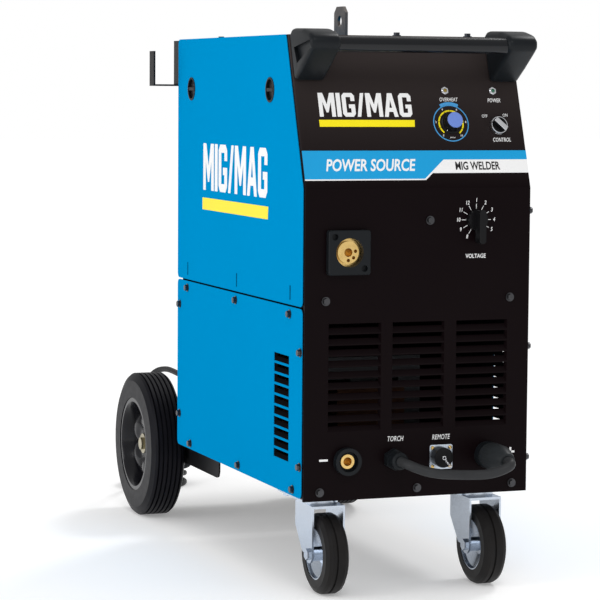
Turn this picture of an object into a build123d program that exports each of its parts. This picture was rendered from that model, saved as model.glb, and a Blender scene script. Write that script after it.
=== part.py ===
"""MIG welding power source in a wheeled sheet-metal cabinet with its wire feeder inside.

Millimetres. +Z up, the control face looks towards -Y, the wire door is on the -X side.
The origin is on the floor, in the middle of the machine.
"""

import os
from math import atan2, cos, hypot, pi, radians, sin, tan

from build123d import *

os.makedirs("parts", exist_ok=True)

# ---------------------------------------------------------------- driving dimensions
front = -457.0  # y of the lower control face
case_width = 376.0
case_depth = 630.0
case_bottom = 155.5
front_bottom = 152.0  # the control face hangs a little below the side panels
seam = 446.0  # joint between the upper and the lower side panels
bend = 626.0  # where the control face starts to lean back
case_top = 858.0
lean_back = 80.0  # how far the top of the control face is set back
sheet = 2.0  # sheet thickness of all panels
panel_gap = 0.4  # between the panels and what they cover

caster_x = 131.7
caster_y = front + 48
caster_radius = 62.5
caster_width = 38.0
swivel_y = front + 79

wheel_x = 181.25
wheel_y = front + 820
wheel_radius = 129.0
wheel_width = 62.5
axle_radius = 10.0

running = 0.05  # radial clearance of every shaft in its hole

half = case_width / 2
inner = half - sheet - panel_gap  # half width of what stands between the side panels
face_half = half - sheet  # half width of the control face
rear = front + case_depth
lean = atan2(lean_back, case_top - bend)
lean_length = hypot(lean_back, case_top - bend)

# control face fittings: x and z on the lower face, x and distance above the bend on the upper
torch_socket_at = (-118.0, 530.0)
tap_switch_at = (94.0, 577.0)
negative_socket_at = (-117.0, 212.0)
positive_socket_at = (117.0, 212.0)
lead_gland_at = (-40.0, 212.0)
remote_at = (39.0, 212.0)
wire_speed_at = (64.7, 104.0)
control_at = (142.7, 99.0)
lamps_at = ((60.0, 156.0), (141.0, 156.0))

louvre_pitch = 16.67
louvre_rows = 10
louvre_slot = 6.5
louvre_blade = 8.0
louvre_depth = 5.5
side_step = 5.2  # how far the side panels start behind the control face

screw_hole = 3.1
front_screws = ((17, 577), (-152.5, 456.5), (152.5, 456.5), (-160, 165.5), (0, 165.5), (160, 165.5))
side_screws = (
    (60, 433), (316, 433), (573, 433), (12, 378.5), (12, 204),
    (42, 165.5), (298, 165.5), (554, 165.5), (616, 401.6), (616, 210.6),
)
right_upper_screws = ((12, 590), (78, 821), (316, 838), (573, 838), (616, 640), (60, 462), (573, 462))
top_screws = ((-120, 100), (0, 100), (120, 100), (-120, 600), (0, 600), (120, 600))
eye_screws = ((-22, 340), (22, 340))
hook_screws = ((-158, 835), (158, 835), (-158, 800), (158, 800))
rear_screws = ((-160, 520), (160, 520), (-160, 165.5), (160, 165.5))

spool_at = (front + 430, 655.0)
spool_radius = 150.0
roll_y = front + 190
roll_radius = 15.0
wire_gap = 0.6
fan_at = (70.0, 310.0)
fan_radius = 88.0
blade_pitch = radians(28)


# ---------------------------------------------------------------- helpers
def save(builder, label):
    builder.part.label = label
    export_step(builder.part, f"parts/{label}.step")


def block(x0, x1, y0, y1, z0, z1, mode=Mode.ADD):
    with Locations(((x0 + x1) / 2, (y0 + y1) / 2, (z0 + z1) / 2)):
        Box(x1 - x0, y1 - y0, z1 - z0, mode=mode)


def disc(at, direction, radius, height, mode=Mode.ADD):
    with BuildSketch(Plane(origin=at, z_dir=direction)) as outline:
        Circle(radius)
    extrude(outline.sketch, amount=height, mode=mode)


def slab(plane, points, thickness, rounded=0, mode=Mode.ADD):
    with BuildSketch(plane) as outline:
        Polygon(*points, align=None)
        if rounded:
            fillet(outline.vertices(), rounded)
    extrude(outline.sketch, amount=thickness, mode=mode)


def hexagon(at, direction, across_flats, height, mode=Mode.ADD):
    with BuildSketch(Plane(origin=at, z_dir=direction)) as outline:
        RegularPolygon(across_flats / 2, 6, major_radius=False)
    extrude(outline.sketch, amount=height, mode=mode)


def turned(plane, points):
    """A solid of revolution about the plane's x axis, from points of (along, radius)."""
    with BuildSketch(plane) as outline:
        Polygon(*points, align=None)
    revolve(outline.sketch, axis=Axis(plane.origin, plane.x_dir))


def lean_y(z):
    return front + max(0.0, z - bend) * tan(lean)


def upper_face(x, up, out=0.0):
    """The plane on the leaning control face, z axis out of it."""
    normal = Vector(0, -cos(lean), sin(lean))
    origin = Vector(x, front + up * sin(lean), bend + up * cos(lean)) + normal * out
    return Plane(origin=origin, x_dir=(1, 0, 0), z_dir=normal)


def lower_face(x, z, out=0.0):
    """The plane on the upright control face, z axis out of it."""
    return Plane(origin=(x, front - out, z), x_dir=(1, 0, 0), z_dir=(0, -1, 0))


left_out, right_out, up, down, backward, forward = (
    (-1, 0, 0), (1, 0, 0), (0, 0, 1), (0, 0, -1), (0, 1, 0), (0, -1, 0),
)

# ---------------------------------------------------------------- cabinet
pan_floor = 155.0
pan_wall_top = 184.0
shelf_under = 440.5
shelf_top = 443.0
divider_x = -30.0
hinge_x = -181.5  # pin of the wire door, along Y
hinge_z = 452.0
hinge_sweep = (442.6, 450.4)  # heights that the bottom edge of the door passes through

with BuildPart() as base_pan:
    block(-inner, inner, front + 2.4, rear - 2.4, pan_floor, pan_floor + 3)
    for side in (-1, 1):
        x = side * (inner - 1)
        block(x - 1, x + 1, front + 2.4, rear - 2.4, pan_floor, pan_wall_top)
    for y in (front + 3.4, rear - 3.4):
        block(-inner, inner, y - 1, y + 1, pan_floor, pan_wall_top)
    corner_y = (front, front + side_step + panel_gap)
    for side in (-1, 1):  # the front corners stay clear of the control face's edges
        x = side * face_half
        block(x - 2.4, x + 2.4, *corner_y, pan_floor - 1, pan_wall_top + 1, Mode.SUBTRACT)
    for y, z in side_screws:
        if z < pan_wall_top:
            disc((-half, front + y, z), right_out, screw_hole, case_width, Mode.SUBTRACT)
    for x, z in front_screws + rear_screws:
        if z < pan_wall_top:
            disc((x, front, z), backward, screw_hole, case_depth, Mode.SUBTRACT)
    for side in (-1, 1):  # caster bolts
        for dx in (-40, 40):
            for dy in (-30, 30):
                disc((side * caster_x + dx, swivel_y + dy, pan_floor - 1), up, 4.2, 6, Mode.SUBTRACT)
save(base_pan, "base_pan")

sheet_lean = sheet / cos(lean)
skin = (
    (front, front_bottom),
    (front, bend),
    (front + lean_back, case_top),
    (front + lean_back + sheet_lean, case_top),
    (front + sheet, bend - sheet * tan(lean / 2)),
    (front + sheet, front_bottom),
)
louvre_columns = (-104.5, 0.0, 106.0)
louvre_top = 422.0
louvre_half = 43.0


def louvre_form(length, wall):
    """A louvre pressed inwards: open along its top edge, sloping below and at both ends."""
    with BuildPart() as form:
        height = louvre_slot + louvre_blade + wall
        with BuildSketch(Plane.XY.offset(-0.01)):
            with Locations((0, height / 2)):
                Rectangle(length + 2 * wall, height)
        height = louvre_slot + wall
        with BuildSketch(Plane.XY.offset(louvre_depth)):
            with Locations((0, height / 2)):
                Rectangle(length + 2 * wall - 5, height)
        loft()
    return form.part


front_pressing = louvre_form(2 * louvre_half, 1.6)
front_hollow = louvre_form(2 * louvre_half, 0)
front_louvre_places = [
    Plane(origin=(x, front, louvre_top - row * louvre_pitch), x_dir=(1, 0, 0), z_dir=(0, 1, 0)).location
    for x in louvre_columns
    for row in range(louvre_rows)
]

with BuildPart() as front_panel:
    with BuildSketch(Plane.YZ.offset(-face_half)) as profile:
        Polygon(*skin, align=None)
        fillet([v for v in profile.vertices() if abs(v.Z - bend) < 3], 11)
    extrude(profile.sketch, amount=2 * face_half)
    for start in (-face_half, face_half - sheet):  # the edges wrap round in front of the side panels
        with BuildSketch(Plane.YZ.offset(start)) as wrap:
            Polygon(
                (front, front_bottom), (front, bend), (front + lean_back, case_top),
                (front + lean_back + side_step, case_top), (front + side_step, bend - 1),
                (front + side_step, front_bottom), align=None,
            )
            fillet([v for v in wrap.vertices() if abs(v.Z - bend) < 3], 10)
        extrude(wrap.sketch, amount=sheet)
    outer_edges = [
        e for e in front_panel.edges()
        if face_half - abs(e.center().X) < 0.1 and abs(e.center().Y - lean_y(e.center().Z)) < 0.8
    ]
    fillet(outer_edges, 1.8)
    for side in (-1, 1):  # side returns
        start = side * (face_half - 2) - (1.6 if side > 0 else 0)
        returns = (
            (front + 1, front_bottom),
            (front + 1, bend),
            (front + lean_back + 1, case_top - 2.4),
            (front + lean_back + 14, case_top - 2.4),
            (front + 14, bend - 2),
            (front + 14, front_bottom + 34),
            (front + 2.2, front_bottom + 34),
            (front + 2.2, front_bottom),
        )
        slab(Plane.YZ.offset(start), returns, 1.6)
    return_y = (front + side_step + panel_gap, front + 16)
    block(-face_half - 1, -face_half + 6, *return_y, *hinge_sweep, Mode.SUBTRACT)
    with Locations(*front_louvre_places):
        add(front_pressing)
        add(front_hollow, mode=Mode.SUBTRACT)
    for y, z in side_screws + right_upper_screws:
        if y < 100:
            disc((-half - 1, front + y, z), right_out, screw_hole, case_width + 2, Mode.SUBTRACT)
    for x, z in front_screws:
        disc((x, front - 1, z), backward, screw_hole, 5, Mode.SUBTRACT)
    for (x, z), radius in (
        (torch_socket_at, 23.0),
        (tap_switch_at, 3 + running),
        (negative_socket_at, 15.0),
        (positive_socket_at, 15.0),
        (lead_gland_at, 12.5),
        (remote_at, 13.0),
    ):
        disc((x, front - 1, z), backward, radius, 5, Mode.SUBTRACT)
    for (x, s), radius in ((wire_speed_at, 3 + running), (control_at, 3 + running)):
        plane = upper_face(x, s, 1)
        disc(plane.origin, plane.z_dir * -1, radius, 5, Mode.SUBTRACT)
    for x, s in lamps_at:
        plane = upper_face(x, s, 1)
        disc(plane.origin, plane.z_dir * -1, 3.7, 5, Mode.SUBTRACT)
save(front_panel, "front_panel")

gland_at = (-112.0, rear, 240.0)
with BuildPart() as rear_panel:
    block(-inner, inner, rear - sheet, rear, case_bottom + 1, case_top - 2.4)
    for ring in range(1, 6):  # fan grille of arc slots
        radius = ring * 15.0
        grille = Plane(origin=(fan_at[0], rear - sheet - 1, fan_at[1]), z_dir=backward)
        with BuildSketch(grille) as slots:
            with PolarLocations(0, 4, start_angle=45):
                SlotArc(
                    CenterArc((0, 0), radius, 12, 66, mode=Mode.PRIVATE),
                    6, mode=Mode.ADD,
                )
        extrude(slots.sketch, amount=sheet + 2, mode=Mode.SUBTRACT)
    for x, z in rear_screws + hook_screws:
        disc((x, rear - 5, z), backward, screw_hole, 8, Mode.SUBTRACT)
    disc((gland_at[0], rear - 5, gland_at[2]), backward, 10.5, 8, Mode.SUBTRACT)
    block(-inner - 1, -inner + 7, rear - 5, rear + 1, *hinge_sweep, Mode.SUBTRACT)
save(rear_panel, "rear_panel")

with BuildPart() as top_cover:
    block(-inner, inner, front + lean_back + 3, rear - sheet - 0.4, case_top - sheet, case_top)
    for side in (-1, 1):
        x = side * (inner - 1)
        flange_y = (front + 130, rear - 20)
        block(x - 1, x + 1, *flange_y, case_top - 60, case_top - sheet)
        corner_y = (front + lean_back, front + lean_back + side_step + panel_gap)
        x = side * face_half
        block(x - 2.4, x + 2.4, *corner_y, case_top - 5, case_top + 1, Mode.SUBTRACT)
    for x, y in top_screws + eye_screws:
        disc((x, front + y, case_top - 5), up, screw_hole, 8, Mode.SUBTRACT)
    block(-3.1, 3.1, front + 340 - 14, front + 340 + 14, case_top - 5, case_top + 3, Mode.SUBTRACT)
    for y, z in right_upper_screws:
        if z > case_top - 60:
            disc((half - 6, front + y, z), right_out, screw_hole, 8, Mode.SUBTRACT)
save(top_cover, "top_cover")

with BuildPart() as mid_shelf:
    block(-inner, inner, front + 15, rear - 2.6, shelf_under, shelf_top)
    block(divider_x - 2, divider_x, front + 15, rear - 2.6, shelf_top, bend)
    divider = (
        (front + 15, bend),
        (rear - 2.6, bend),
        (rear - 2.6, case_top - 3),
        (front + lean_back + 18, case_top - 3),
    )
    slab(Plane.YZ.offset(divider_x - 2), divider, 2)
    motor_z = torch_socket_at[1] - roll_radius - wire_gap
    disc((divider_x - 5, roll_y, motor_z), right_out, 33, 10, Mode.SUBTRACT)
    lug_foot = hinge_z - 3.8
    for y in (60, 313, 573):  # hinge lugs with their pins
        for dy in (-18, 12):
            lug = (front + y + dy, front + y + dy + 6)
            block(-172.0, -168.0, *lug, shelf_top, lug_foot)
            block(hinge_x, -168.0, *lug, lug_foot, 454.6)
            disc((hinge_x, lug[0], hinge_z), backward, 3.6, 6)
        disc((hinge_x, front + y - 18, hinge_z), backward, 2.0, 36)
save(mid_shelf, "mid_shelf")

panel_gap_at_seam = 1.5


def lower_outline():
    return (
        (front + side_step + 0.4, case_bottom),
        (rear - 0.3, case_bottom),
        (rear - 0.3, seam - panel_gap_at_seam),
        (front + side_step + 0.4, seam - panel_gap_at_seam),
    )


def upper_outline():
    return (
        (front + side_step + 0.4, seam + panel_gap_at_seam),
        (rear - 0.3, seam + panel_gap_at_seam),
        (rear - 0.3, case_top),
        (front + lean_back + side_step + 0.6, case_top),
        (front + side_step + 0.6, bend),
    )


def side_skin(side, outline):
    """A flat side panel with rounded corners."""
    start = side * half if side < 0 else half - sheet
    with BuildSketch(Plane.YZ.offset(start)) as shape:
        Polygon(*outline, align=None)
        corners = [v for v in shape.vertices() if abs(v.Z - bend) > 1]
        fillet(corners, 9)
    extrude(shape.sketch, amount=sheet)


side_louvre_y = (front + 62, front + 131)
side_louvre_top = 368.0
side_pressing = louvre_form(side_louvre_y[1] - side_louvre_y[0], 1.6)
side_hollow = louvre_form(side_louvre_y[1] - side_louvre_y[0], 0)


def side_louvre_places(side):
    y = sum(side_louvre_y) / 2
    return [
        Plane(
            origin=(side * half, y, side_louvre_top - row * louvre_pitch),
            x_dir=(0, side, 0), z_dir=(-side, 0, 0),
        ).location
        for row in range(louvre_rows)
    ]


for side, label in ((-1, "left_lower_panel"), (1, "right_lower_panel")):
    with BuildPart() as lower_panel:
        side_skin(side, lower_outline())
        with Locations(*side_louvre_places(side)):
            add(side_pressing)
            add(side_hollow, mode=Mode.SUBTRACT)
        for y, z in side_screws:
            disc((side * (half + 1), front + y, z), (-side, 0, 0), screw_hole, 5, Mode.SUBTRACT)
    save(lower_panel, label)

with BuildPart() as right_upper_panel:
    side_skin(1, upper_outline())
    for y, z in right_upper_screws:
        disc((half + 1, front + y, z), left_out, screw_hole, 5, Mode.SUBTRACT)
save(right_upper_panel, "right_upper_panel")

latch_radius = 19.5
latch_y = (front + 156, front + 554)
latch_z = 773.5
with BuildPart() as wire_door:
    side_skin(-1, upper_outline())
    for y in latch_y:
        disc((-half - 1, y, latch_z), right_out, latch_radius + running, 4, Mode.SUBTRACT)
    for y in (60, 313, 573):
        block(-half - 1, -half + 3, front + y - 2.5, front + y + 2.5, 455, 477, Mode.SUBTRACT)
        disc((hinge_x, front + y - 11, hinge_z), backward, 4.2, 22)
        block(-half + 1, hinge_x, front + y - 11, front + y + 11, 450, 454.4)
        disc((hinge_x, front + y - 12, hinge_z), backward, 2.0 + running, 24, Mode.SUBTRACT)
save(wire_door, "wire_door")

for y, label in zip(latch_y, ("door_latch_front", "door_latch_rear")):
    with BuildPart() as latch:
        disc((-half - 1.2, y, latch_z), right_out, latch_radius, 6.5)
        disc((-half - 2, y, latch_z), right_out, latch_radius - 3, 5.0, Mode.SUBTRACT)
        block(-half - 1.0, -half + 4, y - 14, y + 14, latch_z - 2.5, latch_z + 2.5)
        disc((-half + 5.2, y, latch_z), right_out, 6, 1.2)
        block(-half + 6.2, -half + 9.2, y - 6, y + 32, latch_z - 7, latch_z + 7)
    save(latch, label)

# ---------------------------------------------------------------- handle, lifting eye, hooks
bar_y = front - 2
bar_z = 843.0
bar_radius = 12.0
cap_inner = 137.0

with BuildPart() as handle_bar:
    disc((-cap_inner - 8, bar_y, bar_z), right_out, bar_radius, 2 * cap_inner + 16)
save(handle_bar, "handle_bar")

cap_side = (
    (lean_y(786) - 0.3, 786),
    (front + 48, 787),
    (front + 22, 808),
    (front - 6, 828),
    (front - 20, 838),
    (front - 20, 852),
    (front - 8, 860),
    (front + 20, 866),
    (front + 68, 867),
    (lean_y(case_top) - 0.3, case_top),
)
with BuildPart() as handle_end_caps:
    for side in (-1, 1):
        start = cap_inner if side > 0 else -face_half
        slab(Plane.YZ.offset(start), cap_side, face_half - cap_inner, 3)
        x = side * face_half
        with BuildSketch(Plane.XY.offset(780)) as taper:  # the outer side leans in towards the nose
            Polygon(
                (x + side, front + 30), (x + side, front - 30), (x - side * 17, front - 30), align=None
            )
        extrude(taper.sketch, amount=95, mode=Mode.SUBTRACT)
    disc((-cap_inner - 8, bar_y, bar_z), right_out, bar_radius, 2 * cap_inner + 16, Mode.SUBTRACT)
save(handle_end_caps, "handle_end_caps")

eye_y = front + 340
eye_hole = 9.0
eye_z = 886.0
with BuildPart() as lifting_eye:
    eye = (
        (eye_y - 13, case_top - 40),
        (eye_y + 13, case_top - 40),
        (eye_y + 13, case_top + 0.2),
        (eye_y + 25, case_top + 0.2),
        (eye_y + 25, 900),
        (eye_y + 14, 910),
        (eye_y - 14, 910),
        (eye_y - 25, 900),
        (eye_y - 25, case_top + 0.2),
        (eye_y - 13, case_top + 0.2),
    )
    slab(Plane.YZ.offset(-2.5), eye, 5)
    disc((-5, eye_y, eye_z), right_out, eye_hole, 10, Mode.SUBTRACT)
save(lifting_eye, "lifting_eye")

hook_y = (rear + 1, rear + 26)
def hook_block(side, x0, x1, y0, y1, z0, z1):
    lo, hi = sorted((side * x0, side * x1))
    block(lo, hi, y0, y1, z0, z1)


with BuildPart() as cable_hooks:
    for side in (-1, 1):
        hook_block(side, half - 45, half, rear, rear + 3, 778, 856)
        hook_block(side, half - 3, half, rear, hook_y[1], 778, 856)
        hook_block(side, half - 3, half + 44, *hook_y, 778, 781)
        hook_block(side, half + 41, half + 44, *hook_y, 778, 838)
    for x, z in hook_screws:
        disc((x, rear - 1, z), backward, screw_hole, 8, Mode.SUBTRACT)
save(cable_hooks, "cable_hooks")

# ---------------------------------------------------------------- rear wheels, rails, tray
rail_out = 145.0
rail_bottom = 106.0
tray_floor = 143.0
with BuildPart() as side_rails:
    for side in (-1, 1):
        web = (
            (front + 528, pan_floor),
            (front + 528, rail_bottom + 12),
            (front + 532, rail_bottom + 3),
            (front + 540, rail_bottom),
            (rear + 290, rail_bottom),
            (rear + 305, rail_bottom + 18),
            (rear + 305, tray_floor),
            (rear + 3, tray_floor),
            (rear + 3, pan_floor),
        )
        start = rail_out - 3 if side > 0 else -rail_out
        slab(Plane.YZ.offset(start), web, 3)
        lo, hi = sorted((side * (rail_out - 27), side * (rail_out - 1)))
        block(lo, hi, front + 530, rear - 4, pan_floor - 3, pan_floor)
        block(lo, hi, rear + 5, rear + 303, tray_floor - 3, tray_floor)
        block(lo, hi, rear, rear + 8, tray_floor - 3, tray_floor)
    axle_start = (-rail_out - 5, wheel_y, wheel_radius)
    disc(axle_start, right_out, axle_radius + 0.1, 2 * rail_out + 10, Mode.SUBTRACT)
save(side_rails, "side_rails")

with BuildPart() as bottle_tray:
    block(-rail_out, rail_out, rear + 6, rear + 308, tray_floor, tray_floor + 3)
    block(-rail_out, rail_out, rear + 305, rear + 308, tray_floor, tray_floor + 40)
    for side in (-1, 1):
        lo, hi = sorted((side * (rail_out - 3), side * rail_out))
        block(lo, hi, rear + 6, rear + 308, tray_floor, tray_floor + 16)
save(bottle_tray, "bottle_tray")

axle_end = wheel_x + 18
with BuildPart() as rear_axle:
    disc((-axle_end, wheel_y, wheel_radius), right_out, axle_radius, 2 * axle_end)
    for side in (-1, 1):
        washers = ((rail_out + 0.4, 16, 3.2), (wheel_x + 10.6, 18, 2.4), (wheel_x + 13, 11, 4.6))
        for x, radius, width in washers:
            lo = x if side > 0 else -x - width
            disc((lo, wheel_y, wheel_radius), right_out, radius, width)
save(rear_axle, "rear_axle")

rim_radius = 84.0
groove = 4.0
for side, name in ((-1, "left"), (1, "right")):
    hub_at = (side * wheel_x, wheel_y, wheel_radius)
    hub_plane = Plane(origin=hub_at, x_dir=(side, 0, 0), z_dir=up)
    w = wheel_width / 2
    with BuildPart() as rear_tyre:
        tread = [(-w, rim_radius), (-w, wheel_radius - 14), (-w + 5, wheel_radius - 3)]
        for number in range(6):  # grooves round the tread
            x = -w + 9 + number * 8.3
            tread += [
                (x, wheel_radius),
                (x + 0.8, wheel_radius - groove),
                (x + 2.4, wheel_radius - groove),
                (x + 3.2, wheel_radius),
            ]
        tread += [(w - 5, wheel_radius - 3), (w, wheel_radius - 14), (w, rim_radius)]
        turned(hub_plane, tread)
    save(rear_tyre, f"rear_tyre_{name}")

    with BuildPart() as rear_rim:
        barrel = (
            (-w + 1, rim_radius - 10), (-w + 1, rim_radius - 0.2), (w - 1, rim_radius - 0.2),
            (w - 1, rim_radius - 8), (w - 8, rim_radius - 12), (-w + 8, rim_radius - 12),
        )
        turned(hub_plane, barrel)
        turned(hub_plane, ((-8, 20), (-8, rim_radius - 11), (-2, rim_radius - 11), (-2, 20)))
        bore = axle_radius + running
        turned(hub_plane, ((-w + 3, bore), (-w + 3, 24), (10, 24), (10, bore)))
        rib_at = (side * (wheel_x - 8), wheel_y, wheel_radius)
        with BuildSketch(Plane(origin=rib_at, x_dir=backward, z_dir=(side, 0, 0))) as ribs:
            with PolarLocations(0, 5):
                with Locations((48, 0)):
                    Rectangle(54, 5)
        extrude(ribs.sketch, amount=24)
        window_at = (side * (wheel_x - 12), wheel_y, wheel_radius)
        with BuildSketch(Plane(origin=window_at, x_dir=backward, z_dir=(side, 0, 0))) as windows:
            with PolarLocations(50, 5, start_angle=36):
                Circle(12)
        extrude(windows.sketch, amount=30, mode=Mode.SUBTRACT)
    save(rear_rim, f"rear_rim_{name}")

# ---------------------------------------------------------------- casters
plate_under = pan_floor - 4
crown_under = 134.0
crown_top = 138.0
with BuildPart() as caster_plates:
    for side in (-1, 1):
        x = side * caster_x
        block(x - 52, x + 52, swivel_y - 42, swivel_y + 42, plate_under, pan_floor)
        disc((x, swivel_y, plate_under), down, 28, 4)
        disc((x, swivel_y, plate_under - 4), down, 6, 15)
        disc((x, swivel_y, crown_under - 0.4), down, 10, 4.0)
        for dx in (-40, 40):
            for dy in (-30, 30):
                disc((x + dx, swivel_y + dy, pan_floor - 5), up, 4.0, 14)
                hexagon((x + dx, swivel_y + dy, plate_under), down, 13, 6)
save(caster_plates, "caster_plates")

leg_out = 27.0
for side, name in ((-1, "left"), (1, "right")):
    x = side * caster_x
    axle_plane = Plane(origin=(x, caster_y, caster_radius), x_dir=(1, 0, 0), z_dir=(0, 0, 1))
    with BuildPart() as fork:
        block(x - leg_out, x + leg_out, front + 34, front + 109, crown_under, crown_top)
        disc((x, swivel_y, crown_top), up, 30, 8.4)
        disc((x, swivel_y, crown_under - 1), up, 6 + running, 15, Mode.SUBTRACT)
        disc((x, swivel_y, crown_top + 5), up, 24, 5, Mode.SUBTRACT)
        for leg_x in (x - leg_out, x + leg_out - 3):
            with BuildSketch(Plane.YZ.offset(leg_x)) as leg:
                Polygon(
                    (front + 34, crown_top), (front + 34, caster_radius), (front + 62, caster_radius - 2),
                    (front + 77, caster_radius), (front + 109, 100), (front + 109, crown_top), align=None,
                )
                with Locations((caster_y, caster_radius)):
                    Circle(14)
            extrude(leg.sketch, amount=3)
        disc((x - leg_out - 1, caster_y, caster_radius), right_out, 5, 2 * leg_out + 8)
        for at in (x - leg_out - 5, x + leg_out):
            hexagon((at, caster_y, caster_radius), right_out, 16, 5.5)
    save(fork, f"caster_fork_{name}")

    w = caster_width / 2
    with BuildPart() as caster_rim:
        turned(axle_plane, ((-w - 3.5, 5 + running), (-w - 3.5, 11), (w + 3.5, 11), (w + 3.5, 5 + running)))
        dish = (
            (-w + 1, 40.0), (-w + 1, 38.0), (-w + 6, 36.0), (-5, 16), (-5, 10),
            (5, 10), (5, 16), (w - 6, 36.0), (w - 1, 38.0), (w - 1, 40.0),
        )
        turned(axle_plane, dish)
    save(caster_rim, f"caster_rim_{name}")

    with BuildPart() as caster_tyre:
        section = (
            (-w, 40.2), (-w, 53), (-w + 4, 60), (-w + 9, caster_radius), (-4.5, caster_radius),
            (-3.5, caster_radius - 2.5), (-2.0, caster_radius - 2.5), (-1.0, caster_radius),
            (w - 9, caster_radius), (w - 4, 60), (w, 53), (w, 40.2),
        )
        turned(axle_plane, section)
    save(caster_tyre, f"caster_tyre_{name}")

# ---------------------------------------------------------------- sockets and glands on the control face
socket_x, socket_z = torch_socket_at
with BuildPart() as euro_socket_flange:
    with BuildSketch(lower_face(socket_x, socket_z)) as plate:
        RectangleRounded(68, 68, 4)
    extrude(plate.sketch, amount=11)
    chamfer(euro_socket_flange.faces().sort_by(Axis.Y)[0].edges(), 1.2)
    disc((socket_x, front + 1, socket_z), forward, 22, 14, Mode.SUBTRACT)
    for dx, dz in ((-24, 24), (24, -24)):
        disc((socket_x + dx, front - 5, socket_z + dz), forward, 5, 8, Mode.SUBTRACT)
save(euro_socket_flange, "euro_socket_flange")

lead_bore = 6.7
wire_hole = 6.5
with BuildPart() as brass_contacts:
    disc((socket_x, front - 4, socket_z), backward, 17, 34)
    disc((socket_x, front + sheet, socket_z), backward, 28, 6)
    disc((socket_x, front + 30, socket_z), backward, 12, 30)
    disc((socket_x, front + 60, socket_z), backward, 4, 108)
    disc((socket_x, front - 5, socket_z), backward, wire_hole, 31, Mode.SUBTRACT)
    for dx, dz in ((11.5, 2), (8.5, -8), (0, -12)):
        disc((socket_x + dx, front - 5, socket_z + dz), backward, 2.6, 22, Mode.SUBTRACT)
    for x, z in (negative_socket_at, positive_socket_at):
        disc((x, front - 6, z), backward, 11, 44)
        disc((x, front - 7, z), backward, lead_bore, 35, Mode.SUBTRACT)
save(brass_contacts, "brass_contacts")

with BuildPart() as output_socket_shells:
    for x, z in (negative_socket_at, positive_socket_at):
        disc((x, front, z), forward, 21, 12)
        disc((x, front, z), backward, 14.8, 20)
        disc((x, front - 13, z), backward, 11.2, 40, Mode.SUBTRACT)
        disc((x, front - 13, z), backward, 15.5, 11, Mode.SUBTRACT)
save(output_socket_shells, "output_socket_shells")

lead_radius = 7.6
mains_radius = 5.25
gland_x, gland_z = lead_gland_at
with BuildPart() as cable_glands:
    hexagon((gland_x, front, gland_z), forward, 29, 12)
    disc((gland_x, front - 12, gland_z), forward, 13.2, 20)
    chamfer(cable_glands.faces().sort_by(Axis.Y)[0].edges(), 3)
    disc((gland_x, front, gland_z), backward, 12.3, 16)
    hexagon((gland_x, front + sheet, gland_z), backward, 32, 6)
    disc((gland_x, front - 33, gland_z), backward, lead_radius, 50, Mode.SUBTRACT)
    hexagon(gland_at, backward, 24, 8)
    with BuildSketch(Plane(origin=(gland_at[0], rear + 8, gland_at[2]), z_dir=backward)) as boot_root:
        Circle(10.5)
    with BuildSketch(Plane(origin=(gland_at[0], rear + 42, gland_at[2]), z_dir=backward)) as boot_tip:
        Circle(7.2)
    loft([boot_root.sketch, boot_tip.sketch])
    disc((gland_at[0], rear, gland_at[2]), forward, 10.3, 12)
    disc((gland_at[0], rear - 20, gland_at[2]), backward, mains_radius, 90, Mode.SUBTRACT)
save(cable_glands, "cable_glands")

plug_x, plug_z = positive_socket_at
with BuildPart() as lead_plug:
    turned(
        Plane(origin=(plug_x, front, plug_z), x_dir=(0, -1, 0), z_dir=(0, 0, 1)),
        (
            (9.3, 0), (9.3, 13.6), (12.2, 13.6), (12.2, 19.5), (24, 20), (25, 21.5),
            (50, 21.0), (66, 16.5), (78, 12.0), (78, 0),
        ),
    )
    disc((plug_x, front - 10, plug_z), backward, lead_bore - 0.1, 32)
    disc((plug_x, front - 79, plug_z), backward, lead_radius, 45, Mode.SUBTRACT)
save(lead_plug, "lead_plug")


def fillet_radii(points):
    """The largest arc that the two runs at each corner leave room for."""
    radii = []
    for a, b, c in zip(points, points[1:], points[2:]):
        before, after = Vector(*b) - Vector(*a), Vector(*c) - Vector(*b)
        turn = radians(before.get_angle(after))
        radii.append(0.45 * min(before.length, after.length) / tan(turn / 2))
    return radii


def cord_tube(points, radius, label):
    """A round tube of straight runs joined by tangent arcs."""
    radii = fillet_radii(points)
    with BuildPart() as tube:
        with BuildLine() as route:
            FilletPolyline(*points, radius=radii)
        start = Vector(*points[1]) - Vector(*points[0])
        with BuildSketch(Plane(origin=points[0], z_dir=start)):
            Circle(radius)
        sweep()
    length = sum(edge.length for edge in route.edges())
    expected = pi * radius**2 * length
    print(f"{label}: length {length:.0f}, smallest radius {min(radii):.0f},", end=" ")
    print(f"volume {tube.part.volume / expected:.3f} of section times length")
    save(tube, label)
    return length


torch_lead_route = (
    (gland_x, front - 18, gland_z),
    (gland_x, front - 40, gland_z),
    (gland_x + 7, front - 57, gland_z - 3.5),
    (gland_x + 22, front - 69, gland_z - 9.5),
    (gland_x + 40, front - 75, gland_z - 13.5),
    (gland_x + 60, front - 77.5, gland_z - 15.5),
    (gland_x + 81, front - 79, gland_z - 16.8),
    (gland_x + 102, front - 82, gland_z - 17.6),
    (gland_x + 119, front - 88, gland_z - 16.5),
    (gland_x + 133, front - 94, gland_z - 12.5),
    (plug_x - 11, front - 98, plug_z - 7),
    (plug_x - 2, front - 95, plug_z - 2),
    (plug_x, front - 85, plug_z),
    (plug_x, front - 75, plug_z),
)
cord_tube(torch_lead_route, lead_radius, "torch_lead")

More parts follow.
